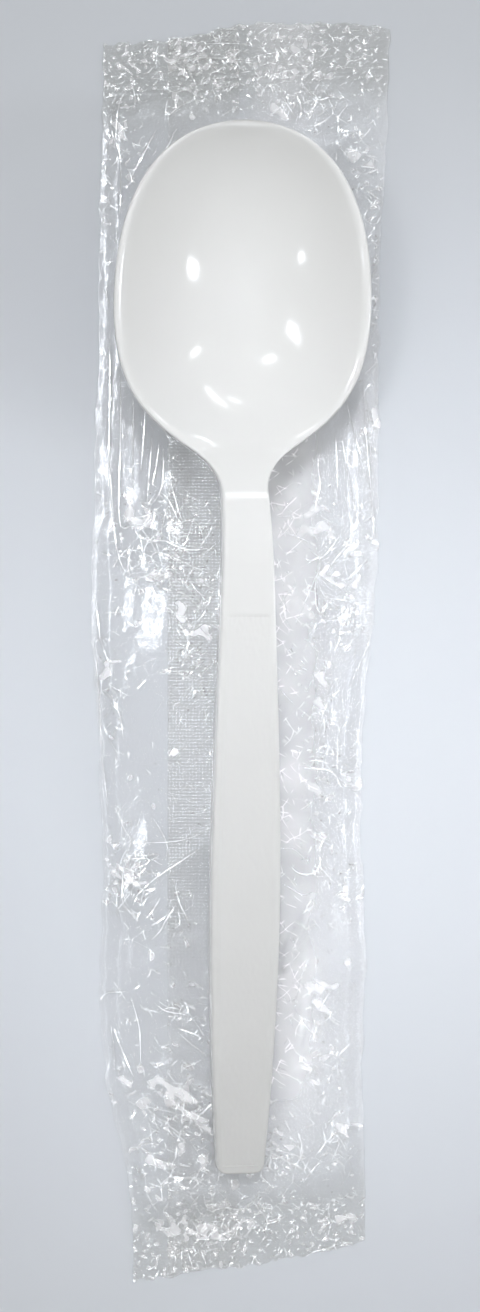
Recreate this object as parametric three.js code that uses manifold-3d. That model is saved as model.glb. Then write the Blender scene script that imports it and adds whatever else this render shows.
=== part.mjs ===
// A disposable soup spoon lying on the clear flow-wrap sleeve that it was packed in.
// Millimetres, +Z up, +Y from the handle towards the bowl's tip.
// The origin is on the table, under the middle of the sleeve.

import * as THREE from "three";
import { ParametricGeometry } from "three/addons/geometries/ParametricGeometry.js";
import { mergeVertices } from "three/addons/utils/BufferGeometryUtils.js";
import Module from "manifold-3d";

// Spoon outline, seen from above. Places along the spoon are distances from the bowl's tip.
const SPOON_LENGTH = 142;
const BOWL_WIDTH = 35;
const BOWL_WIDEST_AT = 24;
const BOWL_BACK_WIDTH = 14.4; // where the bowl's outline turns over into the neck
const BOWL_BACK_RUN = 19.3; // from the widest place to there
const BOWL_BACK_AT = BOWL_WIDEST_AT + BOWL_BACK_RUN;
const BOWL_BACK_SLOPE = -1.5; // half-width lost for each millimetre there
const NECK_WIDTH = 6.3;
const NECK_RUN = 6.2; // from the bowl's back to the narrowest place
const NECK_AT = BOWL_BACK_AT + NECK_RUN;
const HANDLE_WIDTH = 9.4;
const HANDLE_WIDEST_FROM_END = 37.5;
const END_WIDTH = 6.3;
const END_CORNER = 1.3;

// Spoon heights, with the spoon lying on a flat table.
const TIP_HEIGHT = 13;
const BOWL_BACK_HEIGHT = 7.2; // the rim, where the bowl turns over into the neck
const BOWL_LOWEST_AT = 26;
const CREST_HEIGHT = 13.1; // the top of the arch, where neck meets handle
const CREST_RUN = 9.5; // from the narrowest place to there
const CREST_AT = NECK_AT + CREST_RUN;
const END_HEIGHT = 3.2;
const HANDLE_ARCH = 1.5; // how far the handle's middle stands over a straight line

// Spoon walls.
const BOWL_WALL = 1.2;
const RIM_LAND = 0.9; // flat width of the rim
const RIM_ROUND = 0.35; // edge rounding
const BOWL_FULLNESS = 2.1; // 2 is a parabola across the bowl, more is a flatter floor
const RIM_BLEND = 1.2; // softens where the rim runs out into the neck
const HANDLE_DEPTH = 2.8; // down to the foot of the side flanges
const HANDLE_WEB = 1.3; // top wall between the flanges
const HANDLE_FLANGE = 1.2;
const FLANGE_DRAFT = 0.25; // the channel is this much wider, each side, at its mouth
const THICKEN_BEFORE = 8; // the wall starts to thicken this far before the bowl's back
const THICKEN_AFTER = 2; // and reaches full depth this far behind the neck
const CHANNEL_START = CREST_AT - 2;
const PANEL_DEPTH = 0.3; // sunk grip panel on the handle's top face
const PANEL_BORDER = 1.15;
const PANEL_START = CREST_AT + 7;

// Sleeve: one web of film folded into a tube, with a fin seal along its back and a crimp at each end.
const SLEEVE_END_SLACK = 14; // empty film beyond the spoon, at each end
const SLEEVE_SIDE_SLACK = 2.2; // film beyond the bowl, at each side
const SLEEVE_TAPER = 3.8; // each side draws in this much by the handle's end
const SLEEVE_EDGE = 0.4; // where the plies lie flat on each other
const SLEEVE_LANE = 1; // where the spoon presses on the loose film
const SLEEVE_LOFT = 1.3; // how far the free film beside the handle stands above that
const SLEEVE_UNDER_BOWL = 0.25; // share of that loft left beside the bowl
const FIN_WIDTH = 9.8;
const FIN_THICK = 0.4;
const FIN_MIDDLE = -FIN_WIDTH / 2; // folded over to the left of the seam
const BACK_WELD = 0.1; // how far the back ply is sealed into the folded fin
const BACK_LIFT = FIN_THICK - BACK_WELD;
const CRIMP_LENGTH = 8;
const CRIMP_PITCH = 1; // ribs across the web
const CRIMP_RIB = 0.15;
const CRIMP_THICK = 0.5;
const WELD = 0.5; // how far the pieces of the film run into each other

// How the spoon lies on the sleeve.
const REST_GAP = 0.3;
const SPOON_ROLL = THREE.MathUtils.degToRad(9); // left rim up
const SPOON_YAW = THREE.MathUtils.degToRad(0.3); // tip to the left
const SPOON_OFFSET = -1; // of the tip, from the sleeve's middle line

const MERGE_WITHIN = 1e-4;
const wasm = await Module();
wasm.setup();

// A three.js geometry as a solid for joining and cutting.
function solidOf(geometry) {
  const bare = geometry.clone();
  bare.deleteAttribute("normal");
  bare.deleteAttribute("uv");
  const merged = mergeVertices(bare, MERGE_WITHIN);
  const corners = [...merged.index.array];
  const kept = [];
  for (let i = 0; i < corners.length; i += 3) {
    const [a, b, c] = corners.slice(i, i + 3);
    if (a !== b && b !== c && c !== a) kept.push(a, b, c);
  }
  return new wasm.Manifold(
    new wasm.Mesh({
      numProp: 3,
      vertProperties: merged.attributes.position.array,
      triVerts: new Uint32Array(kept),
    }),
  );
}

// A solid as a three.js geometry.
function geometryOf(solid) {
  const { vertProperties, triVerts } = solid.getMesh();
  const geometry = new THREE.BufferGeometry();
  geometry.setAttribute("position", new THREE.BufferAttribute(vertProperties, 3));
  geometry.setIndex(new THREE.BufferAttribute(triVerts, 1));
  geometry.computeVertexNormals();
  return geometry;
}

// A skin through rings of points, with a fan over each end that isn't already shut to a line.
function loft(rings) {
  const around = rings[0].length;
  const cap = (ring) => {
    if (ring.every((p) => p.x === 0)) return [];
    const centre = ring.reduce((sum, p) => sum.add(p), new THREE.Vector3()).divideScalar(around);
    return [ring.map(() => centre)];
  };
  const all = [...cap(rings[0]), ...rings, ...cap(rings.at(-1))];
  const along = all.length - 1;
  return new ParametricGeometry(
    (u, v, target) => target.copy(all[Math.round(v * along)][Math.round(u * around) % around]),
    around,
    along,
  );
}

// A curve drawn as (distance along, size), read as a function of the distance.
function sizeAlong(curve, steps = 60) {
  const points = curve.getPoints(steps);
  return (at) => {
    const next = Math.max(1, points.findIndex((p) => p.x >= at));
    const [a, b] = at >= points.at(-1).x ? points.slice(-2) : [points[next - 1], points[next]];
    return THREE.MathUtils.mapLinear(at, a.x, b.x, a.y, b.y);
  };
}

const spread = (from, to, count) =>
  Array.from({ length: count }, (_, i) => THREE.MathUtils.lerp(from, to, i / count));

// Half of the spoon's outline: tip, bowl, neck, handle.
const HANDLE_WIDEST_AT = SPOON_LENGTH - HANDLE_WIDEST_FROM_END;
const outline = new THREE.Path();
outline.moveTo(0, 0);
outline.bezierCurveTo(
  0, 0.66 * (BOWL_WIDTH / 2),
  0.4 * BOWL_WIDEST_AT, BOWL_WIDTH / 2,
  BOWL_WIDEST_AT, BOWL_WIDTH / 2,
);
outline.bezierCurveTo(
  BOWL_WIDEST_AT + 0.57 * BOWL_BACK_RUN, BOWL_WIDTH / 2,
  BOWL_BACK_AT - 0.22 * BOWL_BACK_RUN, BOWL_BACK_WIDTH / 2 - 0.22 * BOWL_BACK_RUN * BOWL_BACK_SLOPE,
  BOWL_BACK_AT, BOWL_BACK_WIDTH / 2,
);
outline.bezierCurveTo(
  BOWL_BACK_AT + 0.27 * NECK_RUN, BOWL_BACK_WIDTH / 2 + 0.27 * NECK_RUN * BOWL_BACK_SLOPE,
  NECK_AT - 0.42 * NECK_RUN, NECK_WIDTH / 2,
  NECK_AT, NECK_WIDTH / 2,
);
const FLARE_RUN = HANDLE_WIDEST_AT - NECK_AT;
outline.bezierCurveTo(
  NECK_AT + 0.2 * FLARE_RUN, THREE.MathUtils.lerp(NECK_WIDTH, HANDLE_WIDTH, 0.15) / 2,
  HANDLE_WIDEST_AT - 0.3 * FLARE_RUN, HANDLE_WIDTH / 2,
  HANDLE_WIDEST_AT, HANDLE_WIDTH / 2,
);
outline.bezierCurveTo(
  HANDLE_WIDEST_AT + 0.33 * HANDLE_WIDEST_FROM_END, HANDLE_WIDTH / 2,
  SPOON_LENGTH - 0.3 * HANDLE_WIDEST_FROM_END, THREE.MathUtils.lerp(END_WIDTH, HANDLE_WIDTH, 0.58) / 2,
  SPOON_LENGTH, END_WIDTH / 2,
);
const outlineAt = sizeAlong(outline);

// Half-width with the two corners of the handle's end rounded off.
function halfWidthAt(at) {
  const into = Math.max(0, at - (SPOON_LENGTH - END_CORNER));
  return outlineAt(at) - END_CORNER + Math.sqrt(Math.max(0, END_CORNER ** 2 - into ** 2));
}

// Height of the top face along the middle line: into the bowl, up the neck, over the arch, down to the end.
const middle = new THREE.Path();
middle.moveTo(0, TIP_HEIGHT);
middle.bezierCurveTo(
  0.15 * BOWL_LOWEST_AT, 0.38 * TIP_HEIGHT,
  0.54 * BOWL_LOWEST_AT, BOWL_WALL,
  BOWL_LOWEST_AT, BOWL_WALL,
);
const RISE_RUN = CREST_AT - BOWL_LOWEST_AT;
middle.bezierCurveTo(
  BOWL_LOWEST_AT + 0.42 * RISE_RUN, BOWL_WALL,
  CREST_AT - 0.35 * RISE_RUN, CREST_HEIGHT,
  CREST_AT, CREST_HEIGHT,
);
const HANDLE_RUN = SPOON_LENGTH - CREST_AT;
middle.quadraticCurveTo(
  CREST_AT + HANDLE_RUN / 2, (CREST_HEIGHT + END_HEIGHT) / 2 + 2 * HANDLE_ARCH,
  SPOON_LENGTH, END_HEIGHT,
);
const middleAt = sizeAlong(middle);

// How deep the bowl is below its rim. The rim is one plane, and the neck rises through it at the back.
function depthAt(at) {
  const rim = THREE.MathUtils.mapLinear(at, 0, BOWL_BACK_AT, TIP_HEIGHT, BOWL_BACK_HEIGHT);
  const over = rim - middleAt(at);
  const blend = Math.max(0, RIM_BLEND - Math.abs(over)) / RIM_BLEND;
  return Math.max(0, over) + (RIM_BLEND * blend ** 2) / 4;
}

// The wall thickens from the bowl to the full depth of the handle.
function thickAt(at) {
  const handle = THREE.MathUtils.smoothstep(at, BOWL_BACK_AT - THICKEN_BEFORE, NECK_AT + THICKEN_AFTER);
  return THREE.MathUtils.lerp(BOWL_WALL, HANDLE_DEPTH, handle);
}

// One cross-section of the spoon: hollow over full width in the bowl, a plain bar in the handle.
const ACROSS = 20;
const fractions = Array.from({ length: ACROSS + 1 }, (_, i) => (2 * i) / ACROSS - 1);
function spoonRing(at) {
  const half = halfWidthAt(at);
  const round = Math.min(RIM_ROUND, half / 3);
  const land = Math.min(RIM_LAND, half / 3);
  const thick = thickAt(at);
  const rim = middleAt(at) + depthAt(at);
  const share = (x, edge) => (edge > 0 ? Math.min(1, Math.abs(x) / edge) : 1);
  const dish = (x, edge) => depthAt(at) * (1 - share(x, edge) ** BOWL_FULLNESS);
  const point = (x, z) => new THREE.Vector3(x, -at, z);
  const across = fractions.map((f) => f * (half - round));
  const top = across.map((x) => point(x, rim - dish(x, half - land)));
  const under = across.map((x) => point(-x, rim - thick - dish(x, half)));
  const side = [point(half, rim - round), point(half, rim - thick + round)];
  const mirrored = side.map((p) => point(-p.x, p.z)).reverse();
  return [...top, ...side, ...under, ...mirrored].reverse();
}

// A cutter that follows the handle, set in from its outline and measured up and down from its top line.
function handleCutter(from, to, inset, low, high, flare) {
  const STEPS = 20;
  const rings = [...spread(from, to, STEPS), to].map((at) => {
    const half = outlineAt(at) - inset;
    const top = middleAt(at);
    const corners = [[-half - flare, low], [half + flare, low], [half, high], [-half, high]];
    return corners.map(([x, z]) => new THREE.Vector3(x, -at, top + z));
  });
  return solidOf(loft(rings));
}

// The spoon is one moulding, with a channel under the handle and a sunk panel on top of it.
function soupSpoon() {
  const stations = [
    ...spread(0, Math.PI / 2, 16).map((a) => BOWL_WIDEST_AT * (1 - Math.cos(a))),
    ...spread(BOWL_WIDEST_AT, BOWL_BACK_AT, 14),
    ...spread(BOWL_BACK_AT, NECK_AT, 7),
    ...spread(NECK_AT, CREST_AT, 8),
    ...spread(CREST_AT, SPOON_LENGTH - END_CORNER, 18),
    ...spread(0, Math.PI / 2, 3).map((a) => SPOON_LENGTH - END_CORNER * (1 - Math.sin(a))),
    SPOON_LENGTH,
  ];
  const bar = solidOf(loft(stations.map(spoonRing)));
  const ABOVE = 1;
  const channel = handleCutter(
    CHANNEL_START, SPOON_LENGTH - HANDLE_FLANGE, HANDLE_FLANGE,
    -HANDLE_DEPTH - ABOVE, -HANDLE_WEB, FLANGE_DRAFT,
  );
  const panel = handleCutter(
    PANEL_START, SPOON_LENGTH - PANEL_BORDER, PANEL_BORDER,
    -PANEL_DEPTH, ABOVE, 0,
  );
  return geometryOf(bar.subtract(channel).subtract(panel));
}

// Half-width of the sleeve: full over the bowl, drawn in towards the handle's end.
const SLEEVE_LENGTH = SPOON_LENGTH + 2 * SLEEVE_END_SLACK;
const BODY_LENGTH = SLEEVE_LENGTH - 2 * CRIMP_LENGTH + 2 * WELD;
function sleeveHalfAt(y) {
  const drawn = THREE.MathUtils.smoothstep(-y, 0, SLEEVE_LENGTH / 2);
  return BOWL_WIDTH / 2 + SLEEVE_SIDE_SLACK - SLEEVE_TAPER * drawn;
}

// One cross-section of the sleeve's body: a flat lane under the spoon, and loose film on both sides.
const LANE_SHARE = 0.35;
const BELLY_RUN = 12; // the body flattens over this length towards each crimp
function sleeveRing(y) {
  const half = sleeveHalfAt(y);
  const belly = THREE.MathUtils.smoothstep(BODY_LENGTH / 2 - Math.abs(y), 0, BELLY_RUN);
  const beside = THREE.MathUtils.smoothstep(-y, -SLEEVE_LENGTH / 6, 0);
  const loft = SLEEVE_LOFT * THREE.MathUtils.lerp(SLEEVE_UNDER_BOWL, 1, beside);
  const beyond = (u) => Math.max(0, (Math.abs(u) - LANE_SHARE) / (1 - LANE_SHARE));
  const lobe = (u) => Math.sin(Math.PI * beyond(u)) ** 2;
  const lane = (u) => (SLEEVE_LANE - SLEEVE_EDGE) * (1 - u ** 6);
  const over = (u) => SLEEVE_EDGE + belly * (lane(u) + loft * lobe(u));
  const under = (u) => belly * BACK_LIFT * (1 - u ** 4);
  const back = fractions.map((u) => new THREE.Vector3(u * half, y, under(u)));
  const front = fractions.map((u) => new THREE.Vector3(-u * half, y, over(u)));
  return [...back, ...front];
}

// A crimped end seal, running towards +Y: the ribs are pressed across the web.
function crimp(half) {
  const ribs = Math.round(CRIMP_LENGTH / CRIMP_PITCH);
  const pitch = CRIMP_LENGTH / ribs;
  const profile = new THREE.Shape();
  profile.moveTo(0, 0);
  profile.lineTo(CRIMP_LENGTH, 0);
  for (let rib = ribs; rib > 0; rib -= 1) {
    profile.lineTo(rib * pitch, CRIMP_THICK);
    profile.lineTo((rib - 0.5) * pitch, CRIMP_THICK + CRIMP_RIB);
  }
  profile.lineTo(0, CRIMP_THICK);
  const strip = new THREE.ExtrudeGeometry(profile, { depth: 2 * half, bevelEnabled: false });
  return strip.translate(0, 0, -half).rotateX(Math.PI / 2).rotateZ(Math.PI / 2);
}

// The empty wrapper, one film all round.
function filmWrapper() {
  const RINGS = 24;
  const top = BODY_LENGTH / 2;
  const body = loft([...spread(top, -top, RINGS), -top].map(sleeveRing));
  const fin = new THREE.BoxGeometry(FIN_WIDTH, BODY_LENGTH, FIN_THICK);
  fin.translate(FIN_MIDDLE, 0, FIN_THICK / 2);
  const end = SLEEVE_LENGTH / 2;
  const bowlCrimp = crimp(sleeveHalfAt(end)).translate(0, end - CRIMP_LENGTH, 0);
  const handleCrimp = crimp(sleeveHalfAt(-end)).rotateZ(Math.PI).translate(0, CRIMP_LENGTH - end, 0);
  const seals = [fin, bowlCrimp, handleCrimp].map(solidOf);
  return geometryOf(seals.reduce((film, seal) => film.add(seal), solidOf(body)));
}

// The lowest point of a turned mesh, among the corners that a test picks out.
function lowestOf(mesh, picks) {
  mesh.updateMatrix();
  const { position } = mesh.geometry.attributes;
  const cornerAt = (_, i) => new THREE.Vector3().fromBufferAttribute(position, i);
  const corners = Array.from({ length: position.count }, cornerAt).filter(picks);
  const turned = corners.map((corner) => corner.applyMatrix4(mesh.matrix));
  return turned.reduce((low, corner) => (corner.z < low.z ? corner : low));
}

// Rolls the spoon to one side of its bowl, tips it until bowl and handle end are level, and sets it down.
function layOnFilm(spoon) {
  const TRIES = 4;
  spoon.rotation.set(0, SPOON_ROLL, SPOON_YAW);
  for (let i = 0; i < TRIES; i += 1) {
    const bowl = lowestOf(spoon, (corner) => corner.y > -NECK_AT);
    const end = lowestOf(spoon, (corner) => corner.y < -CREST_AT);
    spoon.rotation.x += Math.atan2(end.z - bowl.z, bowl.y - end.y);
  }
  const lowest = lowestOf(spoon, () => true).z;
  spoon.position.set(SPOON_OFFSET, SPOON_LENGTH / 2, SLEEVE_LANE + REST_GAP - lowest);
}

const polystyrene = new THREE.MeshStandardMaterial({ color: 0xe9e8e4, roughness: 0.22, metalness: 0 });
const spoon = new THREE.Mesh(soupSpoon(), polystyrene);
spoon.name = "soup_spoon";
layOnFilm(spoon);

const clearFilm = new THREE.MeshStandardMaterial({
  color: 0xdfe5e9,
  roughness: 0.12,
  metalness: 0,
  transparent: true,
  opacity: 0.3,
});
const wrapper = new THREE.Mesh(filmWrapper(), clearFilm);
wrapper.name = "film_wrapper";

const part = new THREE.Group();
part.add(spoon, wrapper);

export default part;
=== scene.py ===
"""A moulded soup spoon lying on its emptied clear film sleeve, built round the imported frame."""

import math

import bmesh
import bpy
import numpy as np
from bpy.props import FloatProperty, FloatVectorProperty, IntProperty, PointerProperty
from bpy.types import Operator, Panel, PropertyGroup
from mathutils import Matrix, Vector, noise
from mathutils.bvhtree import BVHTree
from mathutils.geometry import delaunay_2d_cdt, interpolate_bezier


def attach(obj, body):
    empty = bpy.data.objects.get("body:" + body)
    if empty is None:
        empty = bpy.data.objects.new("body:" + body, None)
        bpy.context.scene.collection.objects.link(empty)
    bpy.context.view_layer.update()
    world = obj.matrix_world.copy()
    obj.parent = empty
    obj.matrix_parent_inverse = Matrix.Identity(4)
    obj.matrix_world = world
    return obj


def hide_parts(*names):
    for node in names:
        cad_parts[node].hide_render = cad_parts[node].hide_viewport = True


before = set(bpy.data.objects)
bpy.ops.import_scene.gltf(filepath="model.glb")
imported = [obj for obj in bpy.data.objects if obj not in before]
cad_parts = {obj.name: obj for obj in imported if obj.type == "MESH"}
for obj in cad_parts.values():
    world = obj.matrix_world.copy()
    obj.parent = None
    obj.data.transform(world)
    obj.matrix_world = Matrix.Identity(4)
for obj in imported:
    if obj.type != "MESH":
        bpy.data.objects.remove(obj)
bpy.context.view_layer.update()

bl_info = {
    "name": "Soup Spoon on Film Sleeve",
    "version": (1, 0, 0),
    "blender": (4, 5, 0),
    "location": "View3D > Sidebar > Tableware",
    "description": "Moulds a plastic soup spoon, folds the clear sleeve under it and sets the stage",
    "category": "Add Mesh",
}

MM = 0.001


def to_linear(hex_colour):
    """An sRGB hex colour as linear red, green and blue."""
    shares = [int(hex_colour[i:i + 2], 16) / 255 for i in (0, 2, 4)]
    return tuple(s / 12.92 if s <= 0.04045 else ((s + 0.055) / 1.055) ** 2.4 for s in shares)


def length(name, description, mm):
    """A size property, written in millimetres."""
    return FloatProperty(name=name, description=description, default=mm * MM, unit="LENGTH", precision=5)


def colour(name, description, hex_colour):
    """A colour property, written as sRGB hex."""
    return FloatVectorProperty(
        name=name, description=description, default=to_linear(hex_colour),
        size=3, min=0.0, max=1.0, subtype="COLOR",
    )


class SpoonSizes(PropertyGroup):
    """The spoon's sizes; places along it are distances from the bowl's tip."""
    long: length("Length", "From the bowl's tip to the handle's end", 142)
    bowl_width: length("Bowl width", "Across the rim", 35)
    widest_at: length("Bowl widest at", "Place of the bowl's greatest width", 24)
    back_width: length("Bowl back width", "Where the bowl's outline turns over into the neck", 14.4)
    back_run: length("Bowl back run", "From the widest place to the bowl's back", 19.3)
    back_slope: FloatProperty(
        name="Bowl back slope", description="Half-width lost per length there", default=1.5,
    )
    neck_width: length("Neck width", "Narrowest place", 6.3)
    neck_run: length("Neck run", "From the bowl's back to the narrowest place", 6.2)
    handle_width: length("Handle width", "Widest place of the handle", 9.4)
    handle_widest: length("Handle widest from end", "Place of the handle's greatest width", 37.5)
    end_width: length("End width", "At the handle's end", 6.3)
    end_corner: length("End corner", "Corner radius of the handle's end, from above", 1.3)
    tip_height: length("Tip height", "Rim at the tip", 13)
    back_height: length("Bowl back height", "Rim at the bowl's back", 7.2)
    lowest_at: length("Bowl lowest at", "Place of the bowl's floor", 26)
    crest_height: length("Crest height", "Top of the arch between neck and handle", 13.1)
    crest_run: length("Crest run", "From the narrowest place to the crest", 9.5)
    end_height: length("End height", "Top face at the handle's end", 3.2)
    arch: length("Handle arch", "How far the handle's middle stands over a straight line", 1.5)
    wall: length("Bowl wall", "Wall thickness of the bowl", 1.2)
    land: length("Rim land", "Flat width of the rim", 0.9)
    edge: length("Edge rounding", "Radius along the outer edges", 0.35)
    fullness: FloatProperty(name="Bowl fullness", description="2 is a parabola across the bowl", default=2.1)
    blend: length("Rim blend", "Softens where the rim runs out into the neck", 1.2)
    depth: length("Handle depth", "Down to the foot of the side flanges", 2.8)
    web: length("Handle web", "Top wall between the flanges", 1.3)
    flange: length("Handle flange", "Thickness of a side flange", 1.2)
    draft: length("Flange draft", "How much wider the channel is at its mouth", 0.25)
    thicken_before: length("Thickens before", "Start of the thicker wall, before the bowl's back", 8)
    thicken_after: length("Thickens after", "End of that, behind the neck", 2)
    channel_before: length("Channel lead", "The channel starts this far before the crest", 2)
    panel_after: length("Panel lag", "The grip panel starts this far behind the crest", 7)
    panel_depth: length("Panel depth", "How far the grip panel is sunk", 0.16)
    panel_border: length("Panel border", "Raised border round the grip panel", 1.15)
    pebble: length("Pebble size", "Size of the moulded pebbles on the grip panel", 0.6)
    pebble_height: length("Pebble height", "Relief of the pebbles", 0.055)
    roll: FloatProperty(name="Roll", description="Left rim up", default=math.radians(9), subtype="ANGLE")
    yaw: FloatProperty(name="Yaw", description="Tip to the left", default=math.radians(0.3), subtype="ANGLE")
    offset: length("Offset", "Tip, from the sleeve's middle line", -1)
    rest: length("Rest height", "Lowest point of the spoon, over the table", 1.3)


class FilmSizes(PropertyGroup):
    """The sleeve's sizes."""
    fin: length("Fin seal", "Width of the folded back seam", 9.8)
    crimp: length("End seal", "Length of the ribbed seal at each end", 8)
    rib: length("Rib pitch", "Spacing of the end seals' ribs", 0.8)
    knurl: length("Knurl pitch", "Spacing of the fin's pressed dots", 0.45)
    loft: length("Loft", "How far the slack front ply stands over the back ply", 1.5)
    ply: length("Ply spacing", "Air between plies that lie on each other", 0.1)
    pitch_across: length("Mesh across", "Mesh spacing across the front ply", 0.33)
    pitch_along: length("Mesh along", "Mesh spacing along the sleeve", 0.39)
    clear: length("Clearance", "Air left under the spoon", 0.1)
    seed: IntProperty(name="Crumple seed", description="Another number gives other creases", default=7)


class Finishes(PropertyGroup):
    """Colours of the pieces and the floor."""
    plastic: colour("Spoon", "White polystyrene", "D8D7D4")
    film: colour("Film", "Tint of one ply of clear film", "FEFEFE")
    # Painted shade: the grey tint a ply takes at the seals, crushed places, the fin and beside creases.
    film_shade: colour("Film shade", "Tint of one ply where creases and seals turn light away", "F2F2F1")
    floor: colour("Floor", "Pale matt board", "E0E3E7")


class StageSizes(PropertyGroup):
    """The camera's and the lights' places."""
    lens: FloatProperty(name="Lens", description="Focal length in millimetres", default=95.0)
    view_long: length("View length", "Length of the picture, at the spoon's height", 177.2)
    view_height: length("View plane", "Height where the picture has that length", 8)


# Mesh helpers

def eased(value, low, high):
    """0 before low, 1 after high, and smooth in between."""
    t = np.clip((np.asarray(value, float) - low) / (high - low), 0, 1)
    return t * t * (3 - 2 * t)


def drawn(*spans):
    """Bezier spans of (place, size) pairs, read as a function of the place."""
    points = []
    for span in spans:
        knots = [Vector((a, b, 0)) for a, b in span]
        points += interpolate_bezier(knots[0], knots[1], knots[2], knots[3], 80)
    places, sizes = np.array([p.x for p in points]), np.array([p.y for p in points])
    return lambda at: np.interp(at, places, sizes)


def new_piece(name, bm, material):
    """Puts a finished bmesh in the scene as an object at the origin."""
    mesh = bpy.data.meshes.new(name)
    bm.to_mesh(mesh)
    bm.free()
    mesh.materials.append(material)
    piece = bpy.data.objects.new(name, mesh)
    bpy.context.scene.collection.objects.link(piece)
    return piece


def place_grid(bm, places):
    """A grid of quads whose corners are put at places, an array of rows, columns and coordinates."""
    rows, columns = places.shape[:2]
    made = bmesh.ops.create_grid(bm, x_segments=columns - 1, y_segments=rows - 1, size=1)
    for corner in made["verts"]:
        j = round((corner.co.y + 1) / 2 * (rows - 1))
        i = round((corner.co.x + 1) / 2 * (columns - 1))
        corner.co = places[j, i]


# The spoon

# Columns of corners over the top face, from the middle line to the rim's land.
TOP_LANES = 30
# Length of the steps of grip panel and channel, softening of the dish's edge, and fade of the grain.
STEP_RUN, DISH_FILLET, GRAIN_FADE = 0.25 * MM, 0.3 * MM, 0.3 * MM
# Sections are at least this far apart, corners closer than this are one, and edges that turn more are sharp.
SECTION_GAP, SAME_PLACE, SHARP = 0.02 * MM, 0.002 * MM, math.radians(38)


def spoon_curves(s):
    """Half-width, top middle line, bowl depth and wall as functions of the distance from the tip."""
    back_at = s.widest_at + s.back_run
    neck_at = back_at + s.neck_run
    crest_at = neck_at + s.crest_run
    wide_at = s.long - s.handle_widest
    bowl, back, neck = s.bowl_width / 2, s.back_width / 2, s.neck_width / 2
    grip, end = s.handle_width / 2, s.end_width / 2
    flare = wide_at - neck_at
    outline = drawn(
        ((0, 0), (0, 0.66 * bowl), (0.4 * s.widest_at, bowl), (s.widest_at, bowl)),
        ((s.widest_at, bowl), (s.widest_at + 0.57 * s.back_run, bowl),
         (back_at - 0.22 * s.back_run, back + 0.22 * s.back_run * s.back_slope), (back_at, back)),
        ((back_at, back), (back_at + 0.27 * s.neck_run, back - 0.27 * s.neck_run * s.back_slope),
         (neck_at - 0.42 * s.neck_run, neck), (neck_at, neck)),
        ((neck_at, neck), (neck_at + 0.2 * flare, neck + 0.15 * (grip - neck)),
         (wide_at - 0.3 * flare, grip), (wide_at, grip)),
        ((wide_at, grip), (wide_at + 0.33 * s.handle_widest, grip),
         (s.long - 0.3 * s.handle_widest, end + 0.58 * (grip - end)), (s.long, end)),
    )
    rise = crest_at - s.lowest_at
    run = s.long - crest_at
    # The handle's arch is a parabola, drawn as the same curve with two handles.
    peak = (s.crest_height + s.end_height) / 2 + 2 * s.arch
    middle = drawn(
        ((0, s.tip_height), (0.15 * s.lowest_at, 0.38 * s.tip_height),
         (0.54 * s.lowest_at, s.wall), (s.lowest_at, s.wall)),
        ((s.lowest_at, s.wall), (s.lowest_at + 0.42 * rise, s.wall),
         (crest_at - 0.35 * rise, s.crest_height), (crest_at, s.crest_height)),
        ((crest_at, s.crest_height), (crest_at + run / 3, s.crest_height + 2 / 3 * (peak - s.crest_height)),
         (s.long - run / 3, s.end_height + 2 / 3 * (peak - s.end_height)), (s.long, s.end_height)),
    )

    def half(at):
        into = np.maximum(0, at - (s.long - s.end_corner))
        return outline(at) - s.end_corner + np.sqrt(np.maximum(0, s.end_corner ** 2 - into ** 2))

    def sunk(at):
        over = s.tip_height + (s.back_height - s.tip_height) * at / back_at - middle(at)
        blend = np.maximum(0, s.blend - np.abs(over)) / s.blend
        return np.maximum(0, over) + s.blend * blend ** 2 / 4

    def thick(at):
        thicker = eased(at, back_at - s.thicken_before, neck_at + s.thicken_after)
        return s.wall + (s.depth - s.wall) * thicker

    return half, middle, sunk, thick, (back_at, neck_at, crest_at)


def spoon_stations(s, back_at, neck_at, crest_at):
    """Distances from the tip where the spoon is cut into sections, closest where it bends most."""
    panel = (crest_at + s.panel_after, s.long - s.panel_border)
    channel = (crest_at - s.channel_before, s.long - s.flange)
    walls = [[a, a + STEP_RUN, b - STEP_RUN, b] for a, b in (panel, channel)]
    tip = s.widest_at * (1 - np.cos(np.linspace(0, math.pi / 2, 60)))
    end = s.long - s.end_corner * (1 - np.sin(np.linspace(0, math.pi / 2, 12)))
    runs = [
        tip, end, *walls,
        np.linspace(s.widest_at, back_at, 46)[1:],
        np.linspace(back_at, neck_at, 26)[1:],
        np.linspace(neck_at, panel[0], 44)[1:],
        np.linspace(panel[0], panel[1], 270)[1:],
    ]
    stations = np.unique(np.round(np.concatenate(runs), 8))
    return stations[np.concatenate([[True], np.diff(stations) > SECTION_GAP])], panel, channel


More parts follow.
